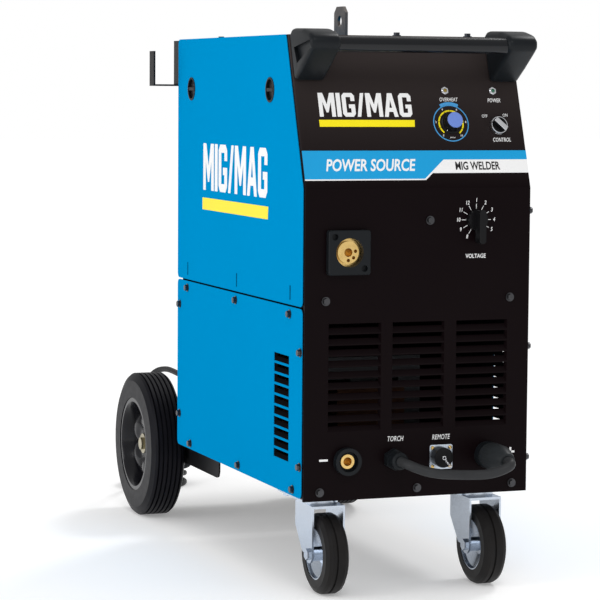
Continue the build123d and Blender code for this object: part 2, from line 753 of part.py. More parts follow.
coil_turn_radius = 52.5
coil_at = (-75.5, front + 1133.0)
coil_height = 6 * mains_radius
mains_route = (
    (gland_at[0], rear + 8, gland_at[2]),
    (gland_at[0], rear + 68, gland_at[2]),
    (gland_at[0] - 1.5, rear + 124, gland_at[2] + 2.5),
    (gland_at[0] - 4, rear + 176, gland_at[2] + 8),
    (gland_at[0] - 6, rear + 232, gland_at[2] + 12),
    (gland_at[0] - 9, rear + 288, gland_at[2] + 14),
    (gland_at[0] - 20, rear + 334, gland_at[2] + 2),
    (gland_at[0] - 30, rear + 366, gland_at[2] - 38),
    (gland_at[0] - 36, rear + 388, gland_at[2] - 86),
    (gland_at[0] - 36, rear + 408, gland_at[2] - 136),
    (gland_at[0] - 32, rear + 430, gland_at[2] - 182),
    (gland_at[0] - 24, rear + 458, gland_at[2] - 216),
    (gland_at[0] - 17, rear + 484, gland_at[2] - 231),
    (coil_at[0] - coil_turn_radius, coil_at[1] - 2, mains_radius + 1),
)
cord_tube(mains_route, mains_radius, "mains_cord")

with BuildPart() as mains_coil:
    disc((*coil_at, 0), up, coil_turn_radius + 2 * mains_radius, coil_height)
    disc((*coil_at, 0), up, coil_turn_radius - 2 * mains_radius, coil_height + 2, Mode.SUBTRACT)
save(mains_coil, "mains_coil")

plug_floor = coil_height + 0.3
with BuildPart() as mains_plug:
    plug_at = (coil_at[0] + 45, coil_at[1] + 32, plug_floor + 20)
    plug_plane = Plane(origin=plug_at, x_dir=(0.1, -1, 0), z_dir=up)
    turned(plug_plane, ((0, 0), (0, 7.5), (22, 9.5), (26, 16), (30, 19.5), (58, 20), (62, 19), (62, 0)))
    for offset, width in ((-7.9, 1.6), (7.9, 1.6), (0, 6.3)):
        height = 0 if width < 2 else -9
        pin_at = plug_plane.origin + plug_plane.x_dir * 62
        with BuildSketch(Plane(origin=pin_at, x_dir=up, z_dir=plug_plane.x_dir)) as pin:
            with Locations((height, offset)):
                Rectangle(6.3 if width < 2 else 1.6, width)
        extrude(pin.sketch, amount=19)
save(mains_plug, "mains_plug")

remote_x, remote_z = remote_at
with BuildPart() as remote_socket:
    with BuildSketch(lower_face(remote_x, remote_z)) as plate:
        RectangleRounded(38, 38, 3)
    extrude(plate.sketch, amount=2.5)
    disc((remote_x, front - 2.5, remote_z), forward, 12.5, 7)
    disc((remote_x, front, remote_z), backward, 12.8, 24)
    for dx in (-14.5, 14.5):
        for dz in (-14.5, 14.5):
            disc((remote_x + dx, front - 2.5, remote_z + dz), forward, 2.8, 1.6)
save(remote_socket, "remote_socket")

with BuildPart() as remote_cap:
    disc((remote_x, front - 2.9, remote_z), forward, 15.5, 11.6)
    chamfer(remote_cap.faces().sort_by(Axis.Y)[0].edges(), 1)
    disc((remote_x, front, remote_z), forward, 12.5 + running, 9.8, Mode.SUBTRACT)
save(remote_cap, "remote_cap")

# ---------------------------------------------------------------- control face: lamps, knobs, switches
with BuildPart() as led_bezels:
    for x, s in lamps_at:
        base = upper_face(x, s)
        normal = base.z_dir
        hexagon(base.origin, normal, 11, 2.4)
        disc(base.origin + normal * 2.4, normal, 4.6, 1.4)
        disc(base.origin, normal * -1, 3.6, 12)
        disc(base.origin + normal * 6, normal * -1, 3.15, 24, Mode.SUBTRACT)
save(led_bezels, "led_bezels")

with BuildPart() as led_lenses:
    for x, s in lamps_at:
        base = upper_face(x, s)
        normal = base.z_dir
        disc(base.origin - normal * 8, normal, 3.1, 13)
    fronts = led_lenses.faces().filter_by(GeomType.PLANE).sort_by(Axis.Z)[-2:]
    fillet(fronts.edges(), 2.2)
save(led_lenses, "led_lenses")

tap_x, tap_z = tap_switch_at
with BuildPart() as tap_switch_knob:
    disc((tap_x, front - 0.4, tap_z), forward, 16, 9)
    with BuildSketch(lower_face(tap_x, tap_z, 9.4)) as bar:
        with Locations((0, -10)):
            RectangleRounded(11, 52, 5)
    extrude(bar.sketch, amount=17)
    disc((tap_x, front - 1, tap_z), backward, 3, 24)
save(tap_switch_knob, "tap_switch_knob")

with BuildPart() as tap_switch_body:
    with BuildSketch(lower_face(tap_x, tap_z, -4)) as body:
        RectangleRounded(66, 66, 6)
    extrude(body.sketch, amount=-62)
    disc((tap_x, front + 3, tap_z), backward, 3 + running, 22, Mode.SUBTRACT)
    for dx in (-24, 24):
        for dz in (-24, 24):
            disc((tap_x + dx, front + sheet, tap_z + dz), backward, 2.5, 3)
save(tap_switch_body, "tap_switch_body")

with BuildPart() as wire_speed_knob:
    base = upper_face(*wire_speed_at, 0.4)
    normal = base.z_dir
    disc(base.origin, normal, 14, 16)
    disc(base.origin + normal * 16, normal, 11.5, 2.2)
    disc(base.origin + normal, normal * -1, 3, 16)
save(wire_speed_knob, "wire_speed_knob")

with BuildPart() as control_knob:
    base = upper_face(*control_at, 0.4)
    normal = base.z_dir
    disc(base.origin, normal, 14.5, 9)
    with BuildSketch(Plane(origin=base.origin + normal * 9, x_dir=(1, 0, 0), z_dir=normal)) as grip:
        with Locations(Location((0, 0), 45)):
            RectangleRounded(6, 25, 2.4)
    extrude(grip.sketch, amount=6)
    disc(base.origin + normal, normal * -1, 3, 16)
save(control_knob, "control_knob")

with BuildPart() as control_board:
    board = upper_face(100, 116, -26)
    with BuildSketch(board) as card:
        Rectangle(130, 96)
    extrude(card.sketch, amount=-1.6)
    for x, s in (wire_speed_at, control_at):
        pot = upper_face(x, s, -2.4)
        disc(pot.origin, pot.z_dir * -1, 11, 23)
        disc(pot.origin + pot.z_dir, pot.z_dir * -1, 3 + running, 16, Mode.SUBTRACT)
save(control_board, "control_board")


def screw(at, direction, length=7.0):
    """A flanged hexagon screw: washer face, head and shank."""
    at, direction = Vector(*at), Vector(*direction)
    disc(at, direction, 6.8, 1.4)
    hexagon(at + direction * 1.4, direction, 9, 4.2)
    disc(at, direction * -1, screw_hole - 0.1, length)


with BuildPart() as hex_screws:
    for x, z in front_screws:
        screw((x, front, z), forward)
    for side in (-1, 1):
        for y, z in side_screws:
            screw((side * half, front + y, z), (side, 0, 0))
    for y, z in right_upper_screws:
        screw((half, front + y, z), right_out)
    for x, y in top_screws + eye_screws:
        screw((x, front + y, case_top), up)
    for x, z in rear_screws:
        screw((x, rear, z), backward)
    for x, z in hook_screws:
        screw((x, rear + 3, z), backward)
save(hex_screws, "hex_screws")

# ---------------------------------------------------------------- power section
core_y = front + 290
with BuildPart() as transformer_core:
    block(-100, 100, core_y - 62, core_y + 62, 164, 344)
    for x in (-62, 22):
        block(x, x + 40, core_y - 70, core_y + 70, 200, 308, Mode.SUBTRACT)
    for x in (-90, 90):
        block(x - 12, x + 12, core_y - 70, core_y + 70, 158.2, 164)
save(transformer_core, "transformer_core")

with BuildPart() as transformer_coils:
    block(-58, 58, core_y - 98, core_y + 98, 204, 304)
    block(-22.4, 22.4, core_y - 62.4, core_y + 62.4, 200, 308, Mode.SUBTRACT)
    block(-130, -104, core_y - 40, core_y + 40, 190, 300)
save(transformer_coils, "transformer_coils")

with BuildPart() as rectifier:
    block(-150, -40, rear - 170, rear - 162, 190, 330)
    for number in range(9):
        x = -146 + number * 12.5
        block(x, x + 2.5, rear - 162, rear - 120, 190, 330)
    block(-150, -40, rear - 170, rear - 120, 158.2, 190)
save(rectifier, "rectifier")

fan_x, fan_z = fan_at
with BuildPart() as fan_housing:
    block(fan_x - 98, fan_x + 98, rear - 44, rear - 6, fan_z - 98, fan_z + 98)
    disc((fan_x, rear - 50, fan_z), backward, fan_radius + 4, 50, Mode.SUBTRACT)
    for angle in range(4):
        with BuildSketch(Plane(origin=(fan_x, rear - 60, fan_z), z_dir=backward)) as strut:
            with Locations(Location((0, 0), 45 + 90 * angle)):
                with Locations((65, 0)):
                    Rectangle(74, 8)
        extrude(strut.sketch, amount=5)
    disc((fan_x, rear - 110, fan_z), backward, 34, 62)
    disc((fan_x, rear - 48, fan_z), backward, 4, 30)
    for angle in range(4):
        with BuildSketch(Plane(origin=(fan_x, rear - 60, fan_z), z_dir=backward)) as post:
            with Locations(Location((0, 0), 45 + 90 * angle)):
                with Locations((99, 0)):
                    Circle(5)
        extrude(post.sketch, amount=20)
save(fan_housing, "fan_housing")

with BuildPart() as fan_blades:
    disc((fan_x, rear - 44, fan_z), backward, 26, 24)
    for number in range(5):
        angle = radians(72 * number)
        radial = Vector(cos(angle), 0, sin(angle))
        chord = Vector(-sin(angle) * cos(blade_pitch), sin(blade_pitch), cos(angle) * cos(blade_pitch))
        root = Vector(fan_x, rear - 32, fan_z) + radial * 22
        with BuildSketch(Plane(origin=root, x_dir=chord, z_dir=radial)) as blade:
            Rectangle(42, 2)
        extrude(blade.sketch, amount=fan_radius - 26)
    disc((fan_x, rear - 50, fan_z), backward, 4 + running, 40, Mode.SUBTRACT)
save(fan_blades, "fan_blades")

# ---------------------------------------------------------------- wire feeder and spool
drive_z = socket_z - wire_gap - roll_radius
press_z = socket_z + wire_gap + roll_radius
arm_pivot_y = roll_y + 52

with BuildPart() as feed_motor:
    block(-104, -96, roll_y - 62, roll_y + 72, 474, 586)
    block(-96, divider_x - 2.4, roll_y - 30, roll_y + 30, drive_z - 26, drive_z + 26)
    disc((divider_x - 2.4, roll_y, drive_z), right_out, 32, 78)
    disc((-104, roll_y, drive_z), left_out, 5, 24)
    disc((-128, roll_y, drive_z), left_out, 9, 4)
    disc((-104, arm_pivot_y, press_z), left_out, 4, 12)
    disc((-116, arm_pivot_y, press_z), left_out, 8, 3)
    for z in (474, 568):
        block(-96, divider_x - 2, roll_y + 50, roll_y + 66, z, z + 12)
save(feed_motor, "feed_motor")

with BuildPart() as drive_roll:
    disc((-112, roll_y, drive_z), left_out, roll_radius, 12)
    disc((-111, roll_y, drive_z), left_out, 5 + running, 14, Mode.SUBTRACT)
save(drive_roll, "drive_roll")

with BuildPart() as pressure_arm:
    arm = (
        (arm_pivot_y + 12, press_z - 9), (arm_pivot_y + 12, press_z + 14), (roll_y - 20, press_z + 26),
        (roll_y - 58, press_z + 26), (roll_y - 58, press_z + 14), (roll_y - 22, press_z + 8),
        (roll_y - 14, press_z - 8), (arm_pivot_y - 14, press_z - 9),
    )
    slab(Plane.YZ.offset(-111.4), arm, 6.6, 3)
    disc((-111.4, roll_y, press_z), left_out, 4, 15)
    disc((-126.4, roll_y, press_z), left_out, 8, 3)
    disc((-120, arm_pivot_y, press_z), right_out, 4 + running, 20, Mode.SUBTRACT)
    disc((-112, roll_y - 46, press_z + 26), up, 6.8, 26)
save(pressure_arm, "pressure_arm")

with BuildPart() as pressure_roll:
    disc((-112.2, roll_y, press_z), left_out, roll_radius, 12)
    disc((-111, roll_y, press_z), left_out, 4 + running, 16, Mode.SUBTRACT)
save(pressure_roll, "pressure_roll")

hub_radius = 25.4
spool_out = -152.0
spool_in = -50.0
with BuildPart() as spool_hub:
    disc((divider_x - 2, *spool_at), left_out, 40, 12)
    disc((divider_x - 14, *spool_at), left_out, hub_radius, 110)
    disc((divider_x - 124, *spool_at), left_out, 34, 8)
    hexagon((divider_x - 132, *spool_at), left_out, 30, 8)
save(spool_hub, "spool_hub")

with BuildPart() as wire_spool:
    for x in (spool_out, spool_in - 4):
        disc((x, *spool_at), right_out, spool_radius, 4)
    disc((spool_out, *spool_at), right_out, 48, spool_in - spool_out)
    hub_bore = hub_radius + running
    disc((spool_out - 1, *spool_at), right_out, hub_bore, spool_in - spool_out + 2, Mode.SUBTRACT)
    for x in (spool_out, spool_in - 4):
        with BuildSketch(Plane(origin=(x - 1, *spool_at), x_dir=(0, 1, 0), z_dir=right_out)) as cut_outs:
            with PolarLocations(100, 6):
                Circle(20)
        extrude(cut_outs.sketch, amount=6, mode=Mode.SUBTRACT)
    disc((spool_out + 4.2, *spool_at), right_out, 126, spool_in - spool_out - 8.4)
    disc((spool_out - 1, *spool_at), right_out, hub_bore, spool_in - spool_out + 2, Mode.SUBTRACT)
save(wire_spool, "wire_spool")

with BuildPart() as gas_valve:
    block(-100, -60, rear - 60, rear - 26, 470, 500)
    disc((-80, rear - 43, 500), up, 15, 34)
    disc((-80, rear - 26, 485), backward, 6, 20)
save(gas_valve, "gas_valve")
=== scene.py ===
import math

import bmesh
import bpy
from mathutils import Matrix, Vector


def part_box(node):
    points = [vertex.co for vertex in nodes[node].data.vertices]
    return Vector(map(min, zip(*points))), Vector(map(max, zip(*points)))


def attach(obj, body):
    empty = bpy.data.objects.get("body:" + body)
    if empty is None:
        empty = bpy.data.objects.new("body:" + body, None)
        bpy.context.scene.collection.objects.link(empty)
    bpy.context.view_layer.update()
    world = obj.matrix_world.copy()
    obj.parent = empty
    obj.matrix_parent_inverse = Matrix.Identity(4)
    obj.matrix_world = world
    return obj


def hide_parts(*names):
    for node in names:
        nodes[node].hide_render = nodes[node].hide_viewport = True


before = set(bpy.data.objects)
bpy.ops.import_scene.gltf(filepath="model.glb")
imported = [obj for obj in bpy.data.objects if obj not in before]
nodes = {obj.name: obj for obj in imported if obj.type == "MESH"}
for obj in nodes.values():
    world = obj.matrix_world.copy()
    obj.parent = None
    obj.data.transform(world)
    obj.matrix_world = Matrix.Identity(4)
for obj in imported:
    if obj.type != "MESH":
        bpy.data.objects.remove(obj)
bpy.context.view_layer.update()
print("frame loaded")

mm = 0.001
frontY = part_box("front_panel")[0].y
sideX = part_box("right_lower_panel")[1].x
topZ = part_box("top_cover")[1].z
bendZ = 626 * mm
leanBack = 80 * mm
lean = math.atan2(leanBack, topZ - bendZ)

# ---- camera

view = {"place": (-1.4785, -3.9322, 0.7802), "turn": 20.289, "tilt": -4.944, "roll": 0.421, "lens": 148.64}


def makeCamera():
    turn, tilt, roll = (math.radians(view[key]) for key in ("turn", "tilt", "roll"))
    ahead = Vector((math.sin(turn) * math.cos(tilt), math.cos(turn) * math.cos(tilt), math.sin(tilt)))
    right = Vector((math.cos(turn), -math.sin(turn), 0))
    up = right.cross(ahead)
    right, up = (
        right * math.cos(roll) + up * math.sin(roll),
        up * math.cos(roll) - right * math.sin(roll),
    )
    camera = bpy.data.objects.new("camera", bpy.data.cameras.new("camera"))
    camera.data.lens = view["lens"]
    camera.data.sensor_width = 36
    camera.data.clip_end = 50
    turned = Matrix((right, up, -ahead)).transposed().to_4x4()
    camera.matrix_world = Matrix.Translation(view["place"]) @ turned
    bpy.context.scene.collection.objects.link(camera)
    bpy.context.scene.camera = camera


makeCamera()

# ---- shader kit


class Wire:  # one socket that takes part in sums
    def __init__(self, shader, socket):
        self.shader = shader
        self.socket = socket

    def calc(self, operation, first, second):
        return self.shader.add("ShaderNodeMath", {"operation": operation}, {0: first, 1: second})

    def __add__(self, other):
        return self.calc("ADD", self, other)

    __radd__ = __add__

    def __mul__(self, other):
        return self.calc("MULTIPLY", self, other)

    __rmul__ = __mul__


class Shader:  # one material with a Principled surface
    def __init__(self, name, **surface):
        self.material = bpy.data.materials.new(name)
        self.material.use_nodes = True
        self.tree = self.material.node_tree
        self.tree.nodes.clear()
        self.out = self.tree.nodes.new("ShaderNodeOutputMaterial")
        self.surface = self.tree.nodes.new("ShaderNodeBsdfPrincipled")
        self.tree.links.new(self.surface.outputs[0], self.out.inputs[0])
        self.coords = self.add("ShaderNodeTexCoord", out="Object")
        self.set(**surface)

    def put(self, socket, value):
        if isinstance(value, Wire):
            self.tree.links.new(value.socket, socket)
        elif hasattr(socket.default_value, "__len__") and len(socket.default_value) == 4:
            socket.default_value = (*value[:3], 1)
        else:
            socket.default_value = value

    def set(self, **surface):
        for name, value in surface.items():
            self.put(self.surface.inputs[name.replace("_", " ")], value)

    def add(self, kind, settings=None, values=None, out=0):
        node = self.tree.nodes.new(kind)
        for name, value in (settings or {}).items():
            setattr(node, name, value)
        for name, value in (values or {}).items():
            self.put(node.inputs[name], value)
        return Wire(self, node.outputs[out])

    def noise(self, scale, detail=3.0, rough=0.5, stretch=None):
        where = self.coords
        if stretch:
            where = self.add("ShaderNodeMapping", values={"Vector": self.coords, "Scale": stretch})
        values = {"Vector": where, "Scale": scale, "Detail": detail, "Roughness": rough}
        return self.add("ShaderNodeTexNoise", values=values)

    def mix(self, mask, first, second):
        node = self.tree.nodes.new("ShaderNodeMix")
        node.data_type = "RGBA"
        self.put(node.inputs[0], mask)
        self.put(node.inputs[6], first)
        self.put(node.inputs[7], second)
        return Wire(self, node.outputs[2])

    def part(self, axis):
        return self.add("ShaderNodeSeparateXYZ", values={0: self.coords}, out=axis)

    def above(self, height, limit):
        return self.add("ShaderNodeMath", {"operation": "GREATER_THAN"}, {0: height, 1: limit})

    def bump(self, height, strength, distance):
        values = {"Height": height, "Strength": strength, "Distance": distance}
        self.set(Normal=self.add("ShaderNodeBump", values=values))

    def spread(self, height, low, high):
        return self.add("ShaderNodeMapRange", values={"Value": height, "To Min": low, "To Max": high})

    def bands(self, direction, scale):
        values = {"Vector": self.coords, "Scale": scale}
        return self.add("ShaderNodeTexWave", {"bands_direction": direction}, values)


def painted(name, shade, darker, rough, grain=900, depth=0.00006, specular=0.14):
    shader = Shader(name, Specular_IOR_Level=specular)
    shader.set(Base_Color=shader.mix(shader.noise(9, 4), shade, darker))
    shader.set(Roughness=shader.spread(shader.noise(40, 5), rough * 0.85, rough * 1.15))
    shader.bump(shader.noise(grain, 2), 0.35, depth)
    return shader.material


def metal(name, shade, darker, rough, stretch=(1, 1, 18), grain=120):
    shader = Shader(name, Metallic=1.0)
    streaks = shader.noise(grain, 4, 0.6, stretch)
    shader.set(Base_Color=shader.mix(streaks, shade, darker))
    shader.set(Roughness=shader.spread(shader.noise(60, 5), rough * 0.7, rough * 1.3))
    shader.bump(streaks, 0.2, 0.00005)
    return shader.material


def flatInk(name, shade):
    shader = Shader(name, Specular_IOR_Level=0.3)
    rough = 0.4
    shader.set(Base_Color=shader.mix(shader.noise(25, 3), shade, [part * 0.94 for part in shade]))
    shader.set(Roughness=shader.spread(shader.noise(300, 3), rough * 0.9, rough * 1.1))
    shader.bump(shader.noise(900, 2), 0.2, 0.00003)
    return shader.material


def blueShader():
    shader = Shader("bluePowderCoatPaintedShadeInside", Specular_IOR_Level=0.0)
    cloud = shader.noise(5, 3)
    paint = shader.mix(cloud, (0.0, 0.25, 0.545), (0.0, 0.24, 0.52))
    # mask of the sheets' outer faces; everything inside it gets painted shade
    across = shader.add("ShaderNodeMath", {"operation": "ABSOLUTE"}, {0: shader.part("X")})
    outside = shader.above(across, sideX - 1 * mm) + shader.above(shader.part("Z"), topZ - 1 * mm)
    shader.set(Base_Color=shader.mix(outside, (0.006, 0.006, 0.007), paint))  # painted shade: the sheets' inner faces are painted near-black, standing in for the shade inside the case
    shader.set(Roughness=shader.spread(shader.noise(60, 4), 0.4, 0.52))
    peel = shader.noise(420, 2) + shader.noise(1300, 2) * 0.4
    shader.bump(peel, 0.25, 0.00008)
    return shader.material


def panelShader():
    shader = Shader("blackPowderCoatPaintedSheen", Specular_IOR_Level=0.05)
    ends = {"Value": shader.part("Z"), "From Min": bendZ, "From Max": topZ - 30 * mm}
    height = shader.add("ShaderNodeMapRange", values=ends)  # painted sheen: the leaning face is painted paler upwards, standing in for the reflection of a high light
    cloud = shader.noise(7, 3)
    low = shader.mix(cloud, (0.004, 0.0016, 0.0022), (0.005, 0.0024, 0.003))
    # the pale top colour is painted sheen; the low colours are the black coat itself
    shader.set(Base_Color=shader.mix(height, low, (0.034, 0.027, 0.026)))
    shader.set(Roughness=shader.spread(shader.noise(40, 5), 0.34, 0.44))
    shader.bump(shader.noise(900, 2), 0.3, 0.00005)
    return shader.material


def lensShader():
    shader = Shader("lampLens", Specular_IOR_Level=0.5, Coat_Weight=0.5, Coat_Roughness=0.05)
    right = shader.above(shader.part("X"), 100 * mm)  # between the two lamps
    speckle = shader.noise(700, 2)
    amber = shader.mix(speckle, (0.16, 0.1, 0.008), (0.34, 0.24, 0.02))
    green = shader.mix(speckle, (0.0, 0.05, 0.02), (0.0, 0.17, 0.08))
    shader.set(Base_Color=shader.mix(right, amber, green))
    shader.set(Roughness=shader.spread(speckle, 0.1, 0.2))
    return shader.material


def laminationShader():
    shader = Shader("laminatedSteel", Metallic=0.8, Roughness=0.5)
    bands = shader.bands("Y", 300)
    # dark steel grey of the laminations, made darker still as painted shade for the inside of the case
    shader.set(Base_Color=shader.mix(bands, (0.03, 0.032, 0.035), (0.07, 0.072, 0.078)))
    shader.bump(bands, 0.4, 0.0002)
    return shader.material


def windingShader():
    shader = Shader("enamelledWinding", Metallic=0.6, Roughness=0.35)
    bands = shader.bands("Z", 160)
    # painted shade: the copper enamel is made much darker than its own colour, standing in for the shade
    # inside the case
    shader.set(Base_Color=shader.mix(bands, (0.05, 0.018, 0.008), (0.11, 0.045, 0.02)))
    shader.bump(bands, 0.6, 0.0005)
    return shader.material


def jacketShader(name, shade, paler):
    shader = Shader(name, Specular_IOR_Level=0.1)
    shader.set(Base_Color=shader.mix(shader.noise(35, 5), shade, paler))
    shader.set(Roughness=shader.spread(shader.noise(90, 4), 0.34, 0.5))
    shader.bump(shader.noise(500, 3) + shader.noise(60, 2), 0.3, 0.0002)
    return shader.material


look = {
    "blue": blueShader(),
    "panel": panelShader(),
    "rack": painted("blackRackPaint", (0.006, 0.006, 0.007), (0.01, 0.01, 0.011), 0.4),
    "grip": painted(
        "glossBlackTube", (0.002, 0.0025, 0.004), (0.004, 0.005, 0.007), 0.18, 700, specular=0.35
    ),
    "mould": painted("mouldedBlack", (0.0055, 0.0065, 0.008), (0.01, 0.0125, 0.015), 0.38, 1500, 0.00012),
    "knob": painted("knobBlack", (0.004, 0.004, 0.0045), (0.008, 0.008, 0.009), 0.3, 1500, 0.00005),
    "sleeve": painted("plugRubber", (0.018, 0.02, 0.022), (0.03, 0.034, 0.037), 0.42, 1100, 0.00014),
    "wheel": painted(
        "wheelPlastic", (0.003, 0.003, 0.005), (0.006, 0.006, 0.009), 0.2, 800, 0.00008, specular=0.3
    ),
    "tyre": jacketShader("tyreRubber", (0.0035, 0.0035, 0.006), (0.008, 0.008, 0.011)),
    "castorTyre": jacketShader("castorRubber", (0.009, 0.009, 0.01), (0.02, 0.018, 0.017)),
    "jacket": jacketShader("cableJacket", (0.024, 0.025, 0.027), (0.042, 0.043, 0.045)),
    "screw": metal("blackenedScrew", (0.05, 0.05, 0.055), (0.09, 0.09, 0.095), 0.35, (1, 1, 1)),
    "zinc": metal("brightZinc", (0.62, 0.68, 0.76), (0.4, 0.45, 0.53), 0.24, (1, 1, 6)),
    # painted shade: the galvanised steel of base pan and mid shelf is made far darker than bare zinc,
    # standing in for the shade inside the case
    "galvanised": metal("galvanised", (0.1, 0.1, 0.105), (0.06, 0.06, 0.065), 0.5, (1, 1, 1), 30),
    "bearing": metal("yellowZinc", (0.5, 0.46, 0.33), (0.36, 0.32, 0.22), 0.3, (1, 1, 1)),
    "brass": metal("brass", (0.85, 0.6, 0.24), (0.6, 0.4, 0.13), 0.25, (1, 1, 1)),
    "steel": metal("oiledSteel", (0.16, 0.145, 0.135), (0.1, 0.09, 0.085), 0.4, (1, 1, 1)),
    "chrome": metal("chrome", (0.85, 0.86, 0.88), (0.7, 0.71, 0.74), 0.1, (1, 1, 1)),
    "laminated": laminationShader(),
    "winding": windingShader(),
    "sink": metal("extrudedAluminium", (0.55, 0.55, 0.57), (0.4, 0.4, 0.42), 0.35),
    "board": painted("boardLacquer", (0.01, 0.12, 0.04), (0.01, 0.16, 0.05), 0.3),
    "reel": metal("copperCoatedWire", (0.8, 0.45, 0.28), (0.6, 0.32, 0.2), 0.3, (40, 1, 1)),
    "white": flatInk("whiteInk", (0.88, 0.88, 0.88)),
    "yellow": flatInk("yellowInk", (0.96, 0.8, 0.0)),
    "blueInk": flatInk("blueInk", (0.0, 0.33, 0.68)),
    "skyInk": flatInk("skyInk", (0.06, 0.33, 0.68)),
    "blackInk": flatInk("blackInk", (0.008, 0.007, 0.007)),
    "lilac": painted("lilacCap", (0.13, 0.22, 0.6), (0.17, 0.27, 0.66), 0.4),
    "lens": lensShader(),
}
nodeLooks = {
    "blue": "wire_door left_lower_panel right_upper_panel right_lower_panel top_cover",
    "panel": "front_panel",
    # the fan housing takes the black paint as painted shade inside the case
    "rack": "rear_panel cable_hooks fan_housing bottle_tray side_rails",
    "galvanised": "base_pan mid_shelf",
    "bearing": "rear_axle",
    "laminated": "transformer_core",
    "winding": "transformer_coils",
    "sink": "rectifier pressure_arm",
    "zinc": "caster_plates caster_fork_left caster_fork_right remote_socket gas_valve feed_motor "
            "caster_rim_left caster_rim_right",
    "castorTyre": "caster_tyre_left caster_tyre_right",
    "tyre": "rear_tyre_left rear_tyre_right",
    "wheel": "rear_rim_left rear_rim_right",
    "mould": "handle_end_caps door_latch_front door_latch_rear euro_socket_flange output_socket_shells "
             "cable_glands tap_switch_body fan_blades spool_hub",
    "knob": "tap_switch_knob wire_speed_knob control_knob remote_cap",
    "sleeve": "lead_plug mains_plug",
    "grip": "handle_bar",
    "brass": "brass_contacts",
    "steel": "lifting_eye drive_roll pressure_roll",
    "screw": "hex_screws",
    "chrome": "led_bezels",
    "lens": "led_lenses",
    "jacket": "torch_lead mains_cord mains_coil",
    "board": "control_board",
    "reel": "wire_spool",
}


def dressNodes():
    for finish, names in nodeLooks.items():
        for name in names.split():
            slots = nodes[name].data.materials
            if not slots:
                slots.append(look[finish])
            for index in range(len(slots)):
                slots[index] = look[finish]


dressNodes()
print("CAD nodes finished")

# ---- piece kit


def makePiece(name, mesh, finish, body, smooth=None):
    obj = bpy.data.objects.new(name, mesh)
    bpy.context.scene.collection.objects.link(obj)
    mesh.materials.clear()
    mesh.materials.append(look[finish])
    if smooth is not None:
        mesh.shade_smooth()
        mesh.set_sharp_from_angle(angle=math.radians(smooth))
    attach(obj, body)
    return obj


def meshFrom(bm, name):
    bmesh.ops.recalc_face_normals(bm, faces=bm.faces)
    mesh = bpy.data.meshes.new(name)
    bm.to_mesh(mesh)
    bm.free()
    return mesh


def facePlace(origin, across, up):
    across, up = Vector(across).normalized(), Vector(up).normalized()
    turned = Matrix((across, up, across.cross(up))).transposed().to_4x4()
    return Matrix.Translation(origin) @ turned


def lowerFace(x, z, out=0.0):
    return facePlace((x, frontY - out, z), (1, 0, 0), (0, 0, 1))


def upperFace(x, along, out=0.0):
    place = Vector((x, frontY + along * math.sin(lean), bendZ + along * math.cos(lean)))
    place += Vector((0, -math.cos(lean), math.sin(lean))) * out
    return facePlace(place, (1, 0, 0), (0, math.sin(lean), math.cos(lean)))


def doorFace(y, z, out=0.0):
    return facePlace((-sideX - out, y, z), (0, -1, 0), (0, 0, 1))


ink = {"thick": 0.12 * mm, "lift": 0.03 * mm}


def addPatch(bm, outline, place):
    corners = [bm.verts.new((x * mm, y * mm, ink["lift"])) for x, y in outline]
    face = bm.faces.new(corners)
    grown = bmesh.ops.extrude_face_region(bm, geom=[face])
    tops = [item for item in grown["geom"] if isinstance(item, bmesh.types.BMVert)]
    bmesh.ops.translate(bm, verts=tops, vec=(0, 0, ink["thick"]))
    bmesh.ops.transform(bm, matrix=place, verts=corners + tops)


def addArc(bm, radii, start, end, place, steps):
    inside, outside = radii
    sweep = [math.radians(start + (end - start) * step / steps) for step in range(steps + 1)]
    outer = [(outside * math.cos(a), outside * math.sin(a)) for a in sweep]
    inner = [(inside * math.cos(a), inside * math.sin(a)) for a in sweep]
    for step in range(steps):
        addPatch(bm, (outer[step], outer[step + 1], inner[step + 1], inner[step]), place)


def addText(bm, words, size, place, bold=0.0, slant=0.0, narrow=1.0, spacing=1.0):
    curve = bpy.data.curves.new("letters", "FONT")
    curve.body = words
    curve.size = size * mm
    curve.align_x = "CENTER"
    curve.align_y = "CENTER"
    curve.offset = bold * mm
    curve.shear = slant
    curve.space_character = spacing
    curve.extrude = ink["thick"] / 2
    curve.resolution_u = 3
    letters = bpy.data.objects.new("letters", curve)
    mesh = bpy.data.meshes.new_from_object(letters)
    lift = Matrix.Translation((0, 0, ink["lift"] + ink["thick"] / 2))
    mesh.transform(place @ Matrix.Diagonal((narrow, 1, 1, 1)) @ lift)
    bm.from_mesh(mesh)
    bpy.data.objects.remove(letters)
    bpy.data.meshes.remove(mesh)
    bpy.data.curves.remove(curve)


# each letter: width, then outlines drawn 100 high
blockLetters = {
    "M": (84, [[
        (0, 0), (0, 100), (24, 100), (42, 52), (60, 100), (84, 100), (84, 0), (64, 0), (64, 62), (47, 18),
        (37, 18), (20, 62), (20, 0),
    ]]),
    "I": (22, [[(0, 0), (0, 100), (22, 100), (22, 0)]]),
    "G": (66, [[
        (12, 0), (0, 12), (0, 88), (12, 100), (54, 100), (66, 88), (66, 66), (45, 66), (45, 83), (21, 83),
        (21, 17), (45, 17), (45, 36), (34, 36), (34, 52), (66, 52), (66, 12), (54, 0),
    ]]),
    "A": (72, [
        [(0, 0), (24, 100), (36, 100), (36, 72), (29, 38), (36, 38), (36, 21), (25, 21), (20, 0)],
        [(72, 0), (52, 0), (47, 21), (36, 21), (36, 38), (43, 38), (36, 72), (36, 100), (48, 100)],
    ]),
    "/": (42, [[(0, 0), (24, 100), (42, 100), (18, 0)]]),
}


